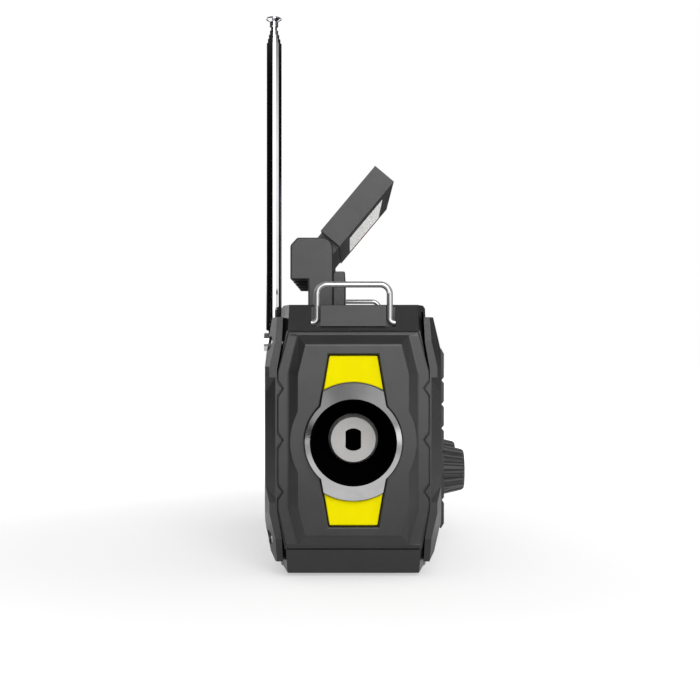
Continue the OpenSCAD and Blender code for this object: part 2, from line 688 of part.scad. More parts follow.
module tuning_shaft() color("silver") mid() {
    spindle(knob_x);
    translate([knob_x, 0, knob_h]) along_y(rack_y0 - 0.2, rack_y0 + rack_t + 0.2)
        polygon(gear_points(pinion_teeth, rack_module));
}
module volume_shaft() color("silver") mid() spindle(-knob_x);
module control_unit(x) translate([x, 0, knob_h]) difference() {
    box([-8.5, 8.5], [board_y - board_t - unit_t, board_y - board_t], [-8.5, 8.5]);
    rod_y(spindle_r + running, board_y - board_t - unit_t - overlap, board_y - board_t + overlap);
}
module tuner_unit() color("steelblue") mid() control_unit(knob_x);
module volume_unit() color("steelblue") mid() control_unit(-knob_x);
module knob(x) translate([x, knob_y, knob_h]) difference() {
    turned_front() polygon([[0, 0], [knob_r, 0], [knob_r, 3.6], [knob_front_r + 0.8, knob_l - 1],
        [knob_front_r, knob_l], [knob_front_r - 2, knob_l], [knob_front_r - 2.6, knob_l - 0.6],
        [0, knob_l - 0.6]]);
    rod_y(spindle_r + running, 3 - knob_l, overlap);
    for (i = [0 : knob_flutes - 1]) rotate([0, 360 * i / knob_flutes, 0])
        translate([knob_r + 0.5, -2.2, 0]) rotate([90, 0, 0])
        rotate([0, -atan((knob_r - knob_front_r) / knob_l), 0]) cylinder(r = 1.15, h = knob_l + 4);
}
module tuning_knob() color("dimgray") mid() knob(knob_x);
module volume_knob() color("dimgray") mid() knob(-knob_x);

// Push buttons and the band switch
module push_button(i) translate([i * button_pitch, 0, button_z]) {
    box([-button_w / 2, button_w / 2], [bezel_y - 1.2, front_in_y + 0.5], [-button_h / 2, button_h / 2]);
    box([-button_w / 2 - 1, button_w / 2 + 1], [front_in_y + seam, front_in_y + seam + 1],
        [-button_h / 2 - 1, button_h / 2 + 1]);
    rod_y(1.5, front_in_y + 1, board_y - board_t - 1.2 - button_travel - seam);
}
module power_button() color("firebrick") mid() push_button(-1);
module light_button() color("gainsboro") mid() push_button(0);
module alarm_button() color("orange") mid() push_button(1);
module band_switch() color("black") mid() translate([0, 0, knob_h]) {
    box([-2.4, 2.4], [bezel_y - 1.4, front_in_y + 0.5], [-2, 2]);
    box([-5, 5], [front_in_y + seam, front_in_y + seam + 1.2], [-4, 4]);
}
module main_board() color("darkgreen") mid() {
    box([board_x0, board_x1], [board_y - board_t, board_y], [board_foot, board_top]);
    for (i = [-1 : 1]) box([i * button_pitch - 3, i * button_pitch + 3],
        [board_y - board_t - 1.2, board_y - board_t + 0.2], [button_z - 3, button_z + 3]);
    for (c = [[0.35, 0.5, 18], [0.68, 0.78, 13], [0.2, 0.7, 11]]) translate([
        board_x0 + (board_x1 - board_x0) * c[0], board_y - 0.2, board_foot + (board_top - board_foot) * c[1]])
        cube([c[2], 2.2, c[2] * 0.8]);
}

// Power: cells in a holder over a door in the bottom deck
module battery_holder() color("black") mid() difference() {
    box([cell_x - cell_l / 2 - 3, cell_x + cell_l / 2 + 3],
        [cell_y - cell_r - 1.6, cell_y + cell_pitch + cell_r + 1.6], [-inner_h, holder_h - inner_h]);
    for (i = [0, 1]) translate([cell_x, cell_y + i * cell_pitch, cell_r + 1.6 - inner_h])
        rod_x(cell_r + 0.1, -cell_l / 2, cell_l / 2);
}
module battery_cells() color("royalblue") mid()
    for (i = [0, 1]) translate([cell_x, cell_y + i * cell_pitch, cell_r + 1.6 - inner_h])
        turned_x() polygon([[0, -cell_l / 2], [cell_r, -cell_l / 2], [cell_r, cell_l / 2 - 1.5],
            [cell_r - 0.6, cell_l / 2 - 1], [3, cell_l / 2 - 1], [3, cell_l / 2], [0, cell_l / 2]]);
module battery_door() color("dimgray") mid() box([cell_x - door_l / 2 + seam, cell_x + door_l / 2 - seam],
    [door_y - door_w / 2 + seam, door_y + door_w / 2 - seam], [-half_h, door_t - half_h]);
module ferrite_rod() color("darkslategray") mid() translate([ferrite_x, ferrite_y, ferrite_z]) {
    rod_x(ferrite_r, -ferrite_l / 2, ferrite_l / 2);
    rod_x(ferrite_r + 1.2, clip_w / 2 - clip_x, clip_x - clip_w / 2);
}

// Sockets on a small board behind the rear, and their cover
module port_board() color("darkgreen") mid() translate([port_x, 0, port_z]) {
    box([1 - port_w / 2, port_w / 2 - 1], [rear_y - wall - port_pad - board_t, rear_y - wall - port_pad],
        [-port_h / 2, port_h / 2]);
    for (s = port_sockets) difference() {
        box([s[0] - s[1] / 2, s[0] + s[1] / 2], [rear_y - wall - port_pad - 0.2, rear_y - port_d - 0.4],
            [-s[2] / 2, s[2] / 2]);
        box([s[0] - s[1] / 2 + 0.5, s[0] + s[1] / 2 - 0.5], [rear_y - wall - port_pad + 0.6, rear_y],
            [-s[2] / 2 + 0.5, s[2] / 2 - 0.5]);
    }
}
module port_cover() color("black") mid() translate([port_x - port_w / 2 + seam, rear_y - cover_t, port_z]) {
    box([cover_t / 2, port_w - 2 * seam], [0, cover_t], [seam - port_h / 2, port_h / 2 - seam]);
    translate([cover_t / 2, cover_t / 2, seam - port_h / 2]) cylinder(d = cover_t, h = port_h - 2 * seam);
    translate([cover_t / 2, cover_t / 2, -port_h / 2 - 1.2]) cylinder(r = 0.6, h = port_h + 2.4);
}

// Telescopic antenna, standing up from its pivot
function section_r(i) = antenna_r - (antenna_wall + running) * i;
function section_start(i) = antenna_root + (antenna_wall + 1.4) * i;
module antenna_axis() mid() translate([antenna_x, antenna_y, antenna_h]) children();
module antenna_tube(i) difference() {
    translate([0, 0, section_start(i)]) cylinder(r = section_r(i),
        h = antenna_l + antenna_step * i - section_start(i));
    translate([0, 0, section_start(i) + 1]) cylinder(r = section_r(i) - antenna_wall, h = antenna_reach);
}
module antenna_base() color("silver") antenna_axis() difference() {
    union() {
        antenna_tube(0);
        cylinder(r = antenna_r, h = antenna_root + 0.5);
        rod_y(knuckle_r, 0.4 - antenna_r, antenna_r - 1.4);
    }
    rod_y(antenna_pivot_r + running, -antenna_r - overlap, antenna_r + overlap);
    for (side = [-1, 1]) translate([0, side * (antenna_r - (side > 0 ? 1.4 : 0.4)) + side * 3, 0])
        rod_y(knuckle_r + 1, -3, 3);
}
module antenna_section_2() color("silver") antenna_axis() antenna_tube(1);
module antenna_section_3() color("silver") antenna_axis() antenna_tube(2);
module antenna_section_4() color("silver") antenna_axis() antenna_tube(3);
module antenna_tip() color("silver") antenna_axis() {
    translate([0, 0, section_start(4)]) cylinder(r = section_r(4),
        h = antenna_reach - antenna_cap_t - section_start(4));
    translate([0, 0, antenna_reach]) rotate_extrude() polygon([[0, 0], [antenna_r - antenna_cap_edge, 0],
        [antenna_r, -antenna_cap_edge], [antenna_r, -2 * antenna_cap_edge], [section_r(3), -antenna_cap_t],
        [section_r(3), -antenna_cap_h], [0, -antenna_cap_h]]);
}
module antenna_screw() color("silver") antenna_axis() {
    rod_y(antenna_pivot_r, rail_y - wall - antenna_y, antenna_r - 1.2);
    rod_y(knuckle_r - 0.5, antenna_r - 1.2, antenna_r + 0.7);
}

// T-shaped handle in two halves, drawn about the lamp hinge
module hinge_axis() translate([0, hinge_y, hinge_z]) children();
module block_outline() polygon([[block_front, barrel_hinge_r - block_h], [block_front, 0], [0, 0],
    [0, barrel_hinge_r], [block_rear - 3.3, barrel_hinge_r], [block_rear, barrel_hinge_r - 3.6],
    [block_rear, barrel_hinge_r - block_h]]);
module column_outline(top) translate([block_front, -hinge_h]) square([column_w, hinge_h + top]);
module handle_rear() color("gray") hinge_axis() difference() {
    union() {
        mirrored_x() along_x(handle_x - knuckle_w, handle_x) {
            block_outline();
            circle(r = barrel_hinge_r);
            column_outline(barrel_hinge_r - block_h + overlap);
        }
        along_x(-handle_x + overlap, handle_x - overlap) {
            intersection() {
                block_outline();
                translate([barrel_hinge_r + clear, -hinge_h]) square([block_w, 2 * hinge_h]);
            }
            column_outline(-barrel_hinge_r - 2);
        }
    }
    rod_x(pin_r + 0.02, 2 - handle_x, handle_x - 2);
    for (i = [-1.5 : 1.5]) translate([i * 25, 0, barrel_hinge_r - block_h - 18])
        rod_y(20, block_front + column_w, block_rear + overlap);
}
module handle_front() color("gray") hinge_axis() along_x(overlap - handle_x, handle_x - overlap)
    translate([block_front - post_w, -hinge_h]) {
        square([post_w, post_h - 1.5]);
        square([post_w - 1.5, post_h]);
        translate([post_w - 1.5, post_h - 1.5]) circle(r = 1.5);
    }
module lamp_axis() hinge_axis() rotate([-lamp_angle, 0, 0]) children();
module lamp_housing() color("gray") lamp_axis() difference() {
    union() {
        box([-handle_x, handle_x], [head_y0, -head_gap], [-head_t / 2, head_t / 2]);
        box([-neck_x, neck_x], [-head_gap - overlap, 0], [-barrel_hinge_r, barrel_hinge_r]);
        rod_x(barrel_hinge_r, -neck_x, neck_x);
    }
    rod_x(pin_r + running, -handle_x, handle_x);
    box([-handle_x + 4, handle_x - 4], [head_y0 + 3, -head_gap - 3], [head_t / 2 - solar_t, head_t]);
    lamp_opening(lens_x0, lens_x1, lens_w, 0);
    lamp_opening(lens_x0 - 3, handle_x - 3, lens_w + 4, lens_t);
    lamp_opening(lens_x1 + 1, lens_x1 + 1 + red_l, red_w, 0);
}
module lamp_opening(x0, x1, w, z) box([x0, x1], [head_y0 + (head_w - w) / 2, head_y0 + (head_w + w) / 2],
    [z - head_t / 2 - (z > 0 ? 0 : overlap), lens_t + 3 - head_t / 2]);
module lens_body(x0, x1, w) box([x0 + 0.1, x1 - 0.1],
    [head_y0 + (head_w - w) / 2 + 0.1, head_y0 + (head_w + w) / 2 - 0.1], [-head_t / 2, lens_t - head_t / 2]);
module lamp_lens() color("white") lamp_axis() lens_body(lens_x0, lens_x1, lens_w);
module red_lens() color("red") lamp_axis() lens_body(lens_x1 + 1, lens_x1 + 1 + red_l, red_w);
module lamp_board() color("darkgreen") lamp_axis() {
    box([lens_x0 - 2.8, handle_x - 3.2], [head_y0 + (head_w - lens_w) / 2 - 1.8,
        head_y0 + (head_w + lens_w) / 2 + 1.8], [lens_t - head_t / 2, lens_t + board_t - head_t / 2]);
}
module solar_panel() color("midnightblue") lamp_axis() box([-handle_x + 4.2, handle_x - 4.2],
    [head_y0 + 3.2, -head_gap - 3.2], [head_t / 2 - solar_t, head_t / 2]);
module lamp_hinge_pin() color("silver") hinge_axis() rod_x(pin_r, 2 - handle_x, handle_x - 2);

// Strap loops, one at each end
module bend(r) rotate_extrude(angle = 90) translate([r, 0]) circle(r = wire_r);
module loop_wire() translate([loop_x, 0, mid_z + loop_pivot]) {
    translate([0, 0, loop_h]) rod_y(wire_r, loop_bend - loop_hw, loop_hw - loop_bend);
    mirrored_y() {
        translate([0, loop_hw - loop_bend, loop_h - loop_bend]) rotate([0, -90, 0]) bend(loop_bend);
        translate([0, loop_hw, loop_foot]) cylinder(r = wire_r, h = loop_h - loop_bend - loop_foot);
        translate([0, loop_hw + loop_foot, loop_foot]) rotate([180, 0, 0]) rotate([0, -90, 0]) bend(loop_foot);
        translate([0, loop_hw, 0]) rod_y(wire_r, loop_foot, loop_pin);
    }
}
module strap_loop_right() color("silver") loop_wire();
module strap_loop_left() color("silver") left_end() loop_wire();

// Crank, its folding grip and the gear train
module on_axis() mid() translate([0, 0, axis_h]) children();
module crank_shaft() color("silver") on_axis() {
    rod_x(shaft_r, gear_plate_x + 0.3, arm_x1 - 2);
    along_x(crank_gear_x, crank_gear_x + gear_t) polygon(gear_points(crank_teeth, coarse_module));
}
module crank_arm() color("dimgray") on_axis() difference() {
    along_x(arm_x0, arm_x1) difference() {
        union() {
            circle(r = hub_r);
            translate([-arm_hw, -crank_r]) square([2 * arm_hw, crank_r]);
            translate([0, -crank_r]) circle(r = arm_hw);
        }
        translate([-grip_r - 0.5, -crank_r - arm_hw - overlap])
            square([2 * grip_r + 1, crank_r + arm_hw + overlap - hub_r + 0.5]);
    }
    rod_x(shaft_r + running, arm_x0 - overlap, arm_x1 - 2);
    rod_x(1.5 + running, arm_x0, arm_x1 + overlap);
    translate([grip_x, 0, -crank_r]) rod_y(trunnion_r + running, -arm_hw - overlap, arm_hw + overlap);
}
module crank_screw() color("silver") on_axis() {
    rod_x(5.5, arm_x1, arm_x1 + 1.8);
    rod_x(1.5, arm_x1 - 2, arm_x1 + 0.2);
}
module grip_spindle() color("silver") on_axis() translate([grip_x, 0, -crank_r]) {
    rod_y(trunnion_r, -arm_hw + 0.3, arm_hw - 0.3);
    rod_y(3.8, -grip_r + 0.2, grip_r - 0.2);
    cylinder(r = grip_shaft_r, h = grip_end + 1.4);
    translate([0, 0, grip_end + 0.2]) cylinder(r = 3.2, h = 1.2);
}
module crank_grip() color("black") on_axis() translate([grip_x, 0, -crank_r]) rotate_extrude()
    polygon([[grip_shaft_r + running, grip_start], [grip_r - 0.8, grip_start], [grip_r, grip_start + 1],
        [grip_r - 0.5, (grip_start + grip_end) / 2], [grip_r, grip_end - 1], [grip_r - 0.8, grip_end],
        [grip_shaft_r + running, grip_end]]);
module idler_gear() color("white") mid() translate([0, 0, idler_z]) {
    rod_x(pivot_r, gear_plate_x + 0.2, inner_x + 1.8);
    along_x(idler_gear_x, idler_gear_x + gear_t) rotate(rotor_angle)
        polygon(gear_points(idler_teeth, fine_module));
    along_x(idler_gear_x + gear_t - 0.5, crank_gear_x + gear_t + 0.5)
        polygon(gear_points(idler_pinion_teeth, coarse_module));
}
module gearbox_plate() color("silver") mid() difference() {
    union() {
        box([gear_plate_x, gear_plate_x + gear_plate_t], [-gear_plate_hw, gear_plate_hw],
            [gear_plate_foot, gear_plate_top]);
        mirrored_y() for (z = [gear_plate_top - 2 * gear_post_r, 3 * gear_post_r - shell_flat])
            translate([0, gear_post_y, z]) rod_x(gear_post_r, gear_plate_x + 0.5, inner_x);
    }
    for (hole = [[0, axis_h, shaft_r + running], [0, idler_z, pivot_r + running],
        [rotor_pos[0], rotor_pos[1], rotor_shaft_r + 1.5]]) translate([0, hole[0], hole[1]])
        rod_x(hole[2], gear_plate_x - overlap, gear_plate_x + gear_plate_t + overlap);
}
module rotor_axis() mid() translate([0, rotor_pos[0], rotor_pos[1]]) children();
module generator() color("silver") rotor_axis() difference() {
    rod_x(generator_r, gear_plate_x - generator_l, gear_plate_x);
    rod_x(generator_r - 1.5, gear_plate_x - generator_l + 3, gear_plate_x - 3);
    rod_x(rotor_shaft_r + running, gear_plate_x - generator_l + 1, gear_plate_x + overlap);
}
module generator_rotor() color("goldenrod") rotor_axis() {
    rod_x(rotor_shaft_r, gear_plate_x - generator_l + 1.5, idler_gear_x + gear_t + 0.5);
    rod_x(generator_r - 2.3, gear_plate_x - generator_l + 5, gear_plate_x - 5);
    along_x(idler_gear_x - 0.5, idler_gear_x + gear_t + 0.5) rotate(rotor_angle + 180 + 180 / rotor_teeth)
        polygon(gear_points(rotor_teeth, fine_module));
}

// Feet and screws
module rubber_feet() color("black") for (x = [-1, 1], y = [-1, 1])
    translate([x * (end_x - foot_in_x), y * (half_w - foot_in_y), 0])
        cylinder(r1 = foot_r - 0.5, r2 = foot_r, h = foot_h);
module case_screws() color("silver") mid() for (p = screw_places) translate([p[0], 0, p[1]]) {
    rod_y(screw_r, half_w - screw_boss_l + 1, rear_y - screw_sink - screw_head_h + 0.1);
    difference() {
        rod_y(screw_head_r, rear_y - screw_sink - screw_head_h, rear_y - screw_sink);
        for (a = [0, 90]) rotate([0, a, 0]) box([-1.8, 1.8], [rear_y - screw_sink - 1, rear_y], [-0.35, 0.35]);
    }
}

centre_frame();
front_shell();
rear_shell();
left_end_plate();
right_end_plate();
front_bezel();
flashlight_bezel();
flashlight_bowl();
lamp_holder();
flashlight_led();
yellow_inserts();
speaker_basket();
speaker_cone();
dial_window();
dial_plate();
dial_pointer();
tuning_shaft();
tuning_knob();
tuner_unit();
volume_shaft();
volume_knob();
volume_unit();
power_button();
light_button();
alarm_button();
band_switch();
main_board();
battery_holder();
battery_cells();
battery_door();
ferrite_rod();
port_board();
port_cover();
antenna_base();
antenna_section_2();
antenna_section_3();
antenna_section_4();
antenna_tip();
antenna_screw();
handle_rear();
handle_front();
lamp_housing();
lamp_lens();
red_lens();
lamp_board();
solar_panel();
lamp_hinge_pin();
strap_loop_left();
strap_loop_right();
crank_shaft();
crank_arm();
crank_screw();
grip_spindle();
crank_grip();
idler_gear();
gearbox_plate();
generator();
generator_rotor();
rubber_feet();
case_screws();
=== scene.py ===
"""Looks of the emergency crank radio: rounded mouldings, materials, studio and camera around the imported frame."""
import json
import math

import bmesh
import bpy
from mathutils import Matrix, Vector


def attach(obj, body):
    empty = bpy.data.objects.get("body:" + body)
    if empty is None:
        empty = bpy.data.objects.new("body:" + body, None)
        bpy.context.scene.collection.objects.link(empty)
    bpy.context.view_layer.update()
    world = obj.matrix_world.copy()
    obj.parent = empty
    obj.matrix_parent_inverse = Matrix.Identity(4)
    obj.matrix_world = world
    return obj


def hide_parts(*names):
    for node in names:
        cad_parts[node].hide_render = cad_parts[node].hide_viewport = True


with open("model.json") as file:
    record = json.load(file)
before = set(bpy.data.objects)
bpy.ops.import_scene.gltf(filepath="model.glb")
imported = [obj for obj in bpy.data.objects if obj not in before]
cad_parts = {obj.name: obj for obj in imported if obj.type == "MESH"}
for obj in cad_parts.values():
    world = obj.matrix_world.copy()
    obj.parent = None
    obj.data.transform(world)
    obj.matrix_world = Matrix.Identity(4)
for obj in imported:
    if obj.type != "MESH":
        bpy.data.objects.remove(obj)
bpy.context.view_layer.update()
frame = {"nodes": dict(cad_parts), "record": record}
NODES = frame["nodes"]
RECORD = frame["record"]
SLOT_OF = {part["node"]: part["material_slot"] for part in RECORD["subparts"]}
BODY_OF = {node: body for body, names in RECORD["behaviour"]["bodies"].items() for node in names}
MM = 0.001


# Node trees

class Tree:
    """A node tree with short ways to add nodes and to fill their inputs."""

    def __init__(self, owner):
        owner.use_nodes = True
        self.nodes = owner.node_tree.nodes
        self.links = owner.node_tree.links

    def put(self, value, socket):
        """Links a source to an input, or sets the input to a plain value."""
        if isinstance(value, bpy.types.NodeSocket):
            self.links.new(value, socket)
        else:
            socket.default_value = value

    def add(self, kind, inputs=None, **settings):
        """Adds a node with its settings, and with a source or a plain value for each input given."""
        node = self.nodes.new(kind)
        for key, value in settings.items():
            setattr(node, key, value)
        for key, value in (inputs or {}).items():
            self.put(value, node.inputs[key])
        return node

    def math(self, operation, *values):
        return self.add("ShaderNodeMath", dict(enumerate(values)), operation=operation).outputs[0]

    def vector(self, operation, *values):
        return self.add("ShaderNodeVectorMath", dict(enumerate(values)), operation=operation).outputs

    def axis(self, vector, letter):
        return self.add("ShaderNodeSeparateXYZ", {"Vector": vector}).outputs[letter]

    def between(self, value, ends, low, high, kind="SMOOTHSTEP"):
        """Goes from low to high while value goes from one end to the other."""
        inputs = {"Value": value, "From Min": ends[0], "From Max": ends[1], "To Min": low, "To Max": high}
        return self.add("ShaderNodeMapRange", inputs, interpolation_type=kind).outputs["Result"]

    def seen(self):
        """Light Path's outputs, and 1 for the rays that the camera sends out and those that pass through glass."""
        path = self.add("ShaderNodeLightPath").outputs
        return path, self.math("MAXIMUM", path["Is Camera Ray"], path["Is Transmission Ray"])


# Part of a noise's or a direction's range over which a tone or gloss changes
MIDDLE = (0.3, 0.7)


class Look(Tree):
    """A material with a Principled shader and procedural changes of its tone, gloss and relief."""

    def __init__(self, name, **sockets):
        self.material = bpy.data.materials.new(name)
        super().__init__(self.material)
        self.shader = self.nodes["Principled BSDF"]
        spot = self.add("ShaderNodeTexCoord").outputs
        self.place, self.facing = spot["Object"], spot["Normal"]
        for key, value in sockets.items():
            self.set(key.replace("_", " "), value)

    def set(self, socket, value):
        self.put(value, self.shader.inputs[socket])

    def noise(self, size_mm, detail=3.0, roughness=0.55, stretch=None):
        """Noise whose features are about size_mm wide, stretched along the axes by stretch."""
        place = self.place
        if stretch:
            place = self.add("ShaderNodeMapping", {"Vector": place, "Scale": stretch}).outputs["Vector"]
        inputs = {"Vector": place, "Scale": 1.0 / (size_mm * MM), "Detail": detail, "Roughness": roughness}
        return self.add("ShaderNodeTexNoise", inputs).outputs["Fac"]

    def bricks(self, size_mm, gap, tones, mortar, inputs=None, **settings):
        """Grid of bricks in two tones, with mortar between them that is gap of a brick wide."""
        inputs = {"Vector": self.place, "Scale": 1.0 / (size_mm * MM), "Mortar Size": gap,
                  "Color1": (*tones[0], 1.0), "Color2": (*tones[1], 1.0), "Mortar": (*mortar, 1.0),
                  **(inputs or {})}
        grid = self.add("ShaderNodeTexBrick", inputs, **settings).outputs
        self.set("Base Color", grid["Color"])
        return grid["Fac"]

    def colour(self, factor, low, high):
        ramp = self.add("ShaderNodeValToRGB", {"Fac": factor})
        for stop, place, rgb in zip(ramp.color_ramp.elements, MIDDLE, (low, high)):
            stop.position = place
            stop.color = (*rgb, 1.0)
        self.set("Base Color", ramp.outputs["Color"])

    def spread(self, socket, factor, low, high):
        self.set(socket, self.between(factor, MIDDLE, low, high, "LINEAR"))

    def rough(self, factor, low, high):
        self.spread("Roughness", factor, low, high)

    def bump(self, height, depth_mm):
        node = self.add("ShaderNodeBump", {"Height": height, "Distance": depth_mm * MM})
        self.set("Normal", node.outputs["Normal"])


# Materials

def shade(rgb, by):
    return tuple(channel * by for channel in rgb)


def moulded(name, rgb, rough=0.32, grain_mm=0.45, depth_mm=0.03, vary=0.12):
    """Moulded plastic: spark-eroded grain, with slow changes of tone and gloss."""
    look = Look(name)
    look.colour(look.noise(size_mm=18.0, detail=4.0), shade(rgb, 1 - vary), shade(rgb, 1 + vary))
    look.rough(look.noise(size_mm=6.0), rough - 0.03, rough + 0.03)
    look.bump(look.noise(grain_mm, detail=2.0, roughness=0.6), depth_mm)
    return look.material


def glossy(name, rgb, rough=0.15, vary=0.06, coat=0.0, gloss=0.5):
    """Smooth plastic or paint with faint unevenness and fine handling marks."""
    look = Look(name, Coat_Weight=coat, Coat_Roughness=0.08, Specular_IOR_Level=gloss)
    look.colour(look.noise(size_mm=9.0), shade(rgb, 1 - vary), shade(rgb, 1 + vary))
    marks = look.noise(size_mm=1.6, detail=4.0, stretch=(1.0, 1.0, 0.2))
    look.rough(marks, rough * 0.7, rough * 1.4)
    look.bump(look.noise(size_mm=2.5, detail=2.0), depth_mm=0.004)
    return look.material


# Width of the drawing lines on metal, and how they are stretched along it
LINE_MM = 0.35
LINE_STRETCH = (1.0, 1.0, 0.08)


def metal(name, rgb, rough=0.1, stretch=LINE_STRETCH, depth_mm=0.0015, bare=1.0, uneven=0.35):
    """Bare or plated metal with fine lines along one axis."""
    look = Look(name, Metallic=bare)
    look.colour(look.noise(size_mm=7.0), shade(rgb, 0.93), shade(rgb, 1.04))
    look.rough(look.noise(LINE_MM, stretch=stretch), rough * (1 - uneven), rough * (1 + uneven))
    look.bump(look.noise(LINE_MM, detail=2.0, stretch=stretch), depth_mm)
    return look.material


def painted(name, face_rgb, side_highlight_rgb, rough=0.4):
    """Silver paint that lies smooth on the flat end of a turned piece and dull around its side, where a paler
    colour is painted on as a highlight for the light that catches the rim.
    """
    look = Look(name, Metallic=0.15)
    end = look.math("ABSOLUTE", look.axis(look.facing, "X"))
    # Painted highlight: the side of the piece gets a paler colour than its flat end, as if lit, by which way the
    # surface faces
    look.colour(end, side_highlight_rgb, face_rgb)
    look.spread("Specular IOR Level", end, 0.0, 0.5)
    look.rough(look.noise(LINE_MM), rough * 0.65, rough * 1.35)
    look.bump(look.noise(LINE_MM, detail=2.0), depth_mm=0.0015)
    return look.material


def black_coat_and_painted_shade(name):
    """Light-trap black: a soft black coat with barely any gloss. On the LED it is painted shade, standing in for
    the shade deep in its slot.
    """
    look = Look(name, Specular_IOR_Level=0.0)
    look.colour(look.noise(size_mm=5.0), (0.0008, 0.0008, 0.0008), (0.0014, 0.0014, 0.0014))
    look.rough(look.noise(size_mm=2.0, detail=2.0), 0.55, 0.7)
    look.bump(look.noise(size_mm=0.3, detail=2.0), depth_mm=0.01)
    return look.material


def clear(name, rgb, rough=0.05):
    """Clear plastic."""
    look = Look(name, Transmission_Weight=1.0, IOR=1.49)
    look.colour(look.noise(size_mm=12.0, detail=2.0), shade(rgb, 0.97), rgb)
    look.rough(look.noise(size_mm=3.0, detail=2.0), rough * 0.6, rough * 1.4)
    look.bump(look.noise(size_mm=4.0, detail=1.0), depth_mm=0.003)
    return look.material


def circuit(name, rgb):
    """Circuit board: green lacquer with copper runs under it."""
    look = Look(name, Roughness=0.35)
    runs = look.bricks(size_mm=6.0, gap=0.03, tones=(rgb, shade(rgb, 0.8)), mortar=shade(rgb, 2.2))
    look.bump(runs, depth_mm=0.02)
    return look.material


def cells(name, rgb):
    """Solar cells: dark blue squares with thin silver fingers under a glossy cover."""
    look = Look(name, Coat_Weight=1.0, Coat_Roughness=0.04)
    look.bricks(size_mm=15.0, gap=0.012, tones=(rgb, shade(rgb, 1.25)), mortar=(0.45, 0.46, 0.48),
                inputs={"Brick Width": 1.0, "Row Height": 0.85}, offset=0.0)
    look.rough(look.noise(size_mm=0.8, detail=2.0), 0.2, 0.35)
    return look.material


GREY = (0.022, 0.022, 0.0224)
CHROME = (0.8, 0.8, 0.81)
# Maker of each material slot, with what it is given
RECIPES = {
    "body_plastic": (moulded, dict(rgb=GREY)),
    "panel_plastic": (moulded, dict(rgb=shade(GREY, 1.1))),
    "bezel_plastic": (moulded, dict(rgb=shade(GREY, 0.6), rough=0.35, grain_mm=0.25, depth_mm=0.015)),
    "knob_plastic": (moulded, dict(rgb=shade(GREY, 1.3), rough=0.42, grain_mm=0.25, depth_mm=0.015)),
    "bowl_black": (black_coat_and_painted_shade, dict()),
    "chrome_trim": (metal, dict(rgb=CHROME, rough=0.24, stretch=(1.0, 1.0, 1.0), depth_mm=0.0001, uneven=0.08)),
    # silver_paint: the pale side colour is a painted highlight on the holder's rim, not a second paint
    "silver_paint": (painted, dict(face_rgb=(0.54, 0.53, 0.52), side_highlight_rgb=(0.85, 0.84, 0.82))),
    "yellow_plastic": (glossy, dict(rgb=(0.89, 0.78, 0.0005), rough=0.5, vary=0.03, gloss=0.02)),
    "antenna_chrome": (metal, dict(rgb=CHROME, rough=0.06)),
    "wire_chrome": (metal, dict(rgb=(0.48, 0.48, 0.485), rough=0.08, bare=0.68)),
    "steel": (metal, dict(rgb=(0.55, 0.55, 0.57), rough=0.3)),
    "rubber_black": (moulded, dict(rgb=(0.02, 0.02, 0.02), rough=0.75, grain_mm=0.6)),
    "speaker_paper": (moulded, dict(rgb=(0.02, 0.02, 0.021), rough=0.85, grain_mm=0.8)),
    "clear_window": (clear, dict(rgb=(0.95, 0.97, 0.98))),
    "dial_card": (moulded, dict(rgb=(0.72, 0.71, 0.66), rough=0.6, vary=0.04)),
    "pointer_red": (glossy, dict(rgb=(0.65, 0.03, 0.02), rough=0.3)),
    "lens_white": (glossy, dict(rgb=(0.8, 0.8, 0.79), rough=0.3, vary=0.03)),
    "lens_red": (glossy, dict(rgb=(0.6, 0.06, 0.03), rough=0.2, coat=0.5)),
    "button_red": (glossy, dict(rgb=(0.5, 0.02, 0.02), rough=0.35)),
    "button_grey": (glossy, dict(rgb=(0.5, 0.5, 0.5), rough=0.35)),
    "button_orange": (glossy, dict(rgb=(0.8, 0.25, 0.01), rough=0.35)),
    "circuit_green": (circuit, dict(rgb=(0.012, 0.09, 0.03))),
    "control_blue": (moulded, dict(rgb=(0.03, 0.06, 0.12), rough=0.45)),
    "inner_black": (moulded, dict(rgb=(0.018, 0.018, 0.019), rough=0.5)),
    "cell_blue": (glossy, dict(rgb=(0.02, 0.07, 0.3), rough=0.3)),
    "ferrite_grey": (moulded, dict(rgb=(0.04, 0.038, 0.036), rough=0.7, grain_mm=0.7)),
    "solar_blue": (cells, dict(rgb=(0.006, 0.012, 0.04))),
    "gear_white": (moulded, dict(rgb=(0.7, 0.7, 0.68), rough=0.4, vary=0.05)),
    "copper_rotor": (metal, dict(rgb=(0.75, 0.36, 0.18), rough=0.3, stretch=(1.0, 0.2, 0.2))),
    # The LED is made near black as painted shade for the deep slot it sits in, not as its own colour
    "led_dark": (black_coat_and_painted_shade, dict()),
}
MATERIALS = {slot: maker(slot, **values) for slot, (maker, values) in RECIPES.items()}


# Pieces

def dress(mesh, node):
    """Gives a mesh the material of its node's slot."""
    mesh.materials.clear()
    mesh.materials.append(MATERIALS[SLOT_OF[node]])


# Corners closer than WELD_MM are one, and faces that meet within FLAT_TURN are one. An edge that turns less than
# EDGE_TURN is flat. One that turns less than FACET_TURN between faces narrower than FACET_MM lies on a curved
# surface. A rounded edge takes at most ROOM_SHARE of the room beside it, and stays sharp where that leaves less
# than LEAST_WEIGHT of the full width. Edges that meet within LINE_BEND are one line with one width. A side that
# bends off an edge by less than LEAST_BEND counts as bending that far.
WELD_MM = 0.002
FLAT_TURN = math.radians(0.6)
EDGE_TURN = math.radians(5.0)
FACET_TURN = math.radians(24.0)
FACET_MM = 1.6
ROOM_SHARE = 0.4
LEAST_WEIGHT = 0.12
LINE_BEND = math.radians(35.0)
LEAST_BEND = 0.01
EDGE_SEGMENTS = 3
FLAT_FACE_WEIGHT = 100


def bend_between(edge, other, corner):
    """How far the way along one edge turns at a shared corner to go on along the other."""
    ahead = edge.other_vert(corner).co - corner.co
    back = other.other_vert(corner).co - corner.co
    return ahead.angle(-back)


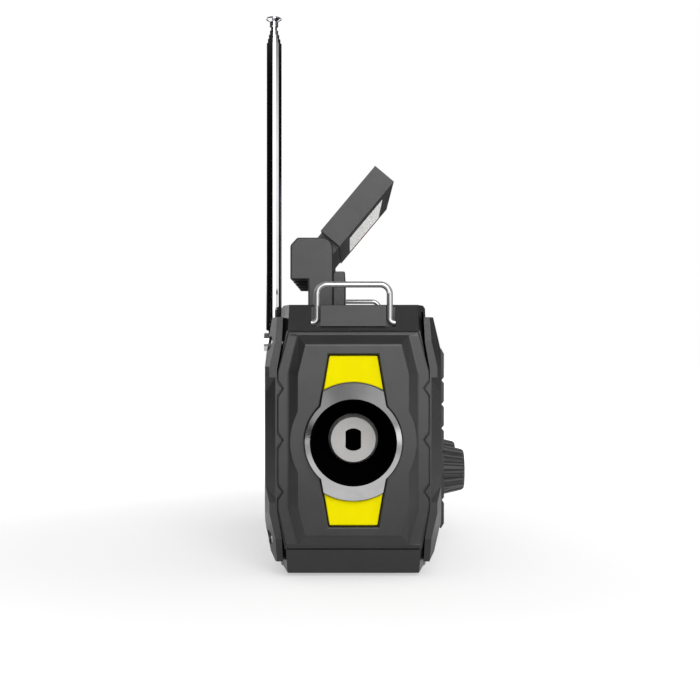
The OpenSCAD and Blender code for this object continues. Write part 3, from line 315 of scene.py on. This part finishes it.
def room_beside(edge):
    """Width of the narrower face beside an edge, and the depth that the sides meeting it leave."""
    width = min(face.calc_area() / edge.calc_length() for face in edge.link_faces)
    depths = []
    for corner in edge.verts:
        for face in edge.link_faces:
            for side in face.edges:
                if side is not edge and corner in side.verts:
                    bend = min(bend_between(edge, side, corner), math.pi / 2)
                    depths.append(side.calc_length() / math.sin(max(LEAST_BEND, bend)))
    return width, min(depths)


def even_out(edges, weight):
    """Gives edges that run on into each other the smallest weight among them."""
    left = set(edges)
    while left:
        chain, todo = [], [left.pop()]
        while todo:
            edge = todo.pop()
            chain.append(edge)
            for corner in edge.verts:
                for other in corner.link_edges:
                    if other in left and bend_between(edge, other, corner) < LINE_BEND:
                        left.remove(other)
                        todo.append(other)
        low = min(edge[weight] for edge in chain)
        for edge in chain:
            edge[weight] = low


def mark_edges(work, width):
    """Gives each design edge the weight of its rounding, and marks the ones with no room as sharp."""
    weight = work.edges.layers.float.new("bevel_weight_edge")
    marked = []
    for edge in work.edges:
        turn = edge.calc_face_angle(0.0)
        if len(edge.link_faces) != 2 or turn < EDGE_TURN:
            continue
        narrow, depth = room_beside(edge)
        if turn < FACET_TURN and narrow < FACET_MM * MM:
            continue
        share = min(1.0, ROOM_SHARE * min(narrow, depth) / width)
        if share < LEAST_WEIGHT:
            edge.smooth = False
            continue
        edge[weight] = share
        marked.append(edge)
    even_out(marked, weight)


def rounded(node, width_mm):
    """Stands a copy with rounded edges in for a moulded CAD node."""
    mesh = NODES[node].data.copy()
    mesh.name = node + "_rounded"
    work = bmesh.new()
    work.from_mesh(mesh)
    bmesh.ops.remove_doubles(work, verts=work.verts, dist=WELD_MM * MM)
    bmesh.ops.dissolve_limit(work, angle_limit=FLAT_TURN, verts=work.verts, edges=work.edges)
    for face in work.faces:
        face.smooth = True
    mark_edges(work, width_mm * MM)
    work.to_mesh(mesh)
    work.free()
    dress(mesh, node)
    piece = bpy.data.objects.new(node + "_rounded", mesh)
    bpy.context.collection.objects.link(piece)
    bevel = piece.modifiers.new("edge", "BEVEL")
    bevel.width = width_mm * MM
    bevel.segments = EDGE_SEGMENTS
    bevel.limit_method = "WEIGHT"
    bevel.use_clamp_overlap = False
    normals = piece.modifiers.new("flats", "WEIGHTED_NORMAL")
    normals.weight = FLAT_FACE_WEIGHT
    normals.keep_sharp = True
    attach(piece, BODY_OF[node])
    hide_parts(node)


# Edge width of each moulded node that is rounded here, in millimetres
EDGES = {
    "left_end_plate": 0.65, "right_end_plate": 0.65, "handle_rear": 0.8, "handle_front": 0.7, "crank_arm": 0.6,
    "yellow_inserts": 0.6, "tuning_knob": 0.3, "volume_knob": 0.3,
}
for name in NODES:
    dress(NODES[name].data, name)
for name, width in EDGES.items():
    rounded(name, width)


# Studio

WHITE = (1.0, 1.0, 1.0, 1.0)

# Floor: colour under the lamps; base glow for the camera near the object and far from it, after the distances
# where it changes; and what reflections see of it. In front these are steps along X that add up: bright far
# out, a dark card, bright before the object, dark under it. Aside it is bright near the object and dark far out.
FLOOR_SIZE = 12.0
FLOOR_PAPER = (0.6, 0.6, 0.6, 1.0)
FLOOR_GLOW = ((0.15, 0.45), 0.46, 0.8)
FLOOR_MIRROR = [((-0.6, -0.36), 2.3, 0.25), ((-0.2, -0.16), 0.0, 0.37), ((-0.1, 0.15), 0.0, -0.59)]
FLOOR_FRONT = (-0.6, -0.25)
FLOOR_ASIDE = ((0.4, 0.6), 1.2, 0.05)


def floor_material():
    """White floor: lit like paper, with a base glow for the camera, so that only the soft shadow shows."""
    material = bpy.data.materials.new("floor_white")
    tree = Tree(material)
    tree.nodes.clear()
    path, seen = tree.seen()
    place = tree.add("ShaderNodeTexCoord").outputs["Object"]
    reach = tree.vector("LENGTH", place)["Value"]
    along = tree.axis(place, "X")
    front = tree.between(along, *FLOOR_MIRROR[0])
    for step in FLOOR_MIRROR[1:]:
        front = tree.math("ADD", front, tree.between(along, *step))
    aside = tree.between(reach, *FLOOR_ASIDE)
    heading = tree.axis(tree.vector("NORMALIZE", place)["Vector"], "X")
    mirror = tree.between(heading, FLOOR_FRONT, front, aside)
    base = tree.math("MULTIPLY", seen, tree.between(reach, *FLOOR_GLOW))
    paper = tree.add("ShaderNodeBsdfDiffuse", {"Color": FLOOR_PAPER}).outputs[0]
    glow = tree.add("ShaderNodeEmission", {"Strength": base}).outputs[0]
    mirrored = tree.add("ShaderNodeEmission", {"Strength": mirror}).outputs[0]
    lit = tree.add("ShaderNodeAddShader", {0: paper, 1: glow}).outputs[0]
    mix = tree.add("ShaderNodeMixShader", {0: path["Is Glossy Ray"], 1: lit, 2: mirrored}).outputs[0]
    tree.add("ShaderNodeOutputMaterial", {"Surface": mix})
    return material


def lay_floor():
    work = bmesh.new()
    bmesh.ops.create_grid(work, x_segments=1, y_segments=1, size=FLOOR_SIZE / 2)
    mesh = bpy.data.meshes.new("floor")
    work.to_mesh(mesh)
    work.free()
    mesh.materials.append(floor_material())
    piece = bpy.data.objects.new("floor", mesh)
    bpy.context.collection.objects.link(piece)


# The room that lights and reflections see: a level for each rise of the walls and ceiling, and bright panels.
# Each panel has its heading, the cosines off it where it starts and is full, the rises where it starts, is
# full, fades and ends, and its strength.
WALL_LEVEL = 0.004
UPPER_WALL = ((0.22, 0.4), 0.34)
CEILING = ((0.72, 0.86), -0.22)
LEVEL = (1.0, 1.0, 0.0)
PANELS = [
    ((-0.84, -0.54, 0.0), (0.66, 0.72), (-0.3, -0.1, 0.15, 0.3), 1.0),
    ((-0.98, -0.18, 0.0), (0.92, 0.96), (-0.2, -0.1, 0.15, 0.3), 1.5),
    ((-0.98, -0.2, 0.0), (0.92, 0.98), (0.1, 0.3, 0.69, 0.8), 4.8),
    ((0.82, 0.57, 0.0), (0.93, 0.97), (0.0, 0.08, 0.35, 0.5), 1.3),
]


def studio_world():
    """White to the camera; for light and reflections, a dark room with a bright front and back."""
    world = bpy.data.worlds.new("studio")
    tree = Tree(world)
    tree.nodes.clear()
    seen = tree.seen()[1]
    place = tree.add("ShaderNodeTexCoord").outputs["Generated"]
    rise = tree.axis(place, "Z")
    level = tree.math("ADD", tree.between(rise, UPPER_WALL[0], WALL_LEVEL, UPPER_WALL[1]),
                      tree.between(rise, CEILING[0], 0.0, CEILING[1]))
    heading = tree.vector("NORMALIZE", tree.vector("MULTIPLY", place, LEVEL)["Vector"])["Vector"]
    for direction, cosines, rises, power in PANELS:
        along = tree.vector("DOT_PRODUCT", heading, direction)["Value"]
        band = tree.math("MULTIPLY", tree.between(rise, rises[:2], 0.0, 1.0),
                         tree.between(rise, rises[2:], 1.0, 0.0))
        panel = tree.math("MULTIPLY", band, tree.between(along, cosines, 0.0, power))
        level = tree.math("ADD", level, panel)
    light = tree.add("ShaderNodeBackground", {"Color": WHITE, "Strength": level}).outputs[0]
    white = tree.add("ShaderNodeBackground", {"Color": WHITE}).outputs[0]
    mix = tree.add("ShaderNodeMixShader", {0: seen, 1: light, 2: white}).outputs[0]
    tree.add("ShaderNodeOutputWorld", {"Surface": mix})
    bpy.context.scene.world = world


# Place, aim and size of each soft box in millimetres, and its power in watts
LAMPS = {
    "top_box": ((0.0, 0.0, 1500.0), (0.0, 0.0, 70.0), (2400.0, 2400.0), 12.5),
    "fill_box": ((0.0, -700.0, 60.0), (0.0, -20.0, 180.0), (600.0, 120.0), 5.0),
}


def softbox(name, place_mm, aim_mm, size_mm, watts):
    lamp = bpy.data.lights.new(name, "AREA")
    lamp.shape = "RECTANGLE"
    lamp.size, lamp.size_y = size_mm[0] * MM, size_mm[1] * MM
    lamp.energy = watts
    piece = bpy.data.objects.new(name, lamp)
    piece.location = Vector(place_mm) * MM
    piece.rotation_euler = (Vector(aim_mm) * MM - piece.location).to_track_quat("-Z", "Y").to_euler()
    piece.visible_camera = False
    piece.visible_glossy = False
    bpy.context.collection.objects.link(piece)


# Camera: level, a little below the top of the case, looking along +X at the flashlight end
EYE_MM = (-631.5, 1.47, 99.6)
ALONG_X = (math.pi / 2, 0.0, -math.pi / 2)
FOCAL_PX = 1222.6
IMAGE_PX = 700.0
SENSOR_MM = 36.0
NEAREST = 0.01


def photo_camera():
    lens = bpy.data.cameras.new("photo_camera")
    lens.sensor_width = SENSOR_MM
    lens.lens = SENSOR_MM * FOCAL_PX / IMAGE_PX
    lens.clip_start = NEAREST
    camera = bpy.data.objects.new("photo_camera", lens)
    camera.location = Vector(EYE_MM) * MM
    camera.rotation_euler = ALONG_X
    bpy.context.collection.objects.link(camera)
    bpy.context.scene.camera = camera


lay_floor()
studio_world()
for name, values in LAMPS.items():
    softbox(name, *values)
photo_camera()
bpy.context.scene.view_settings.view_transform = "Standard"
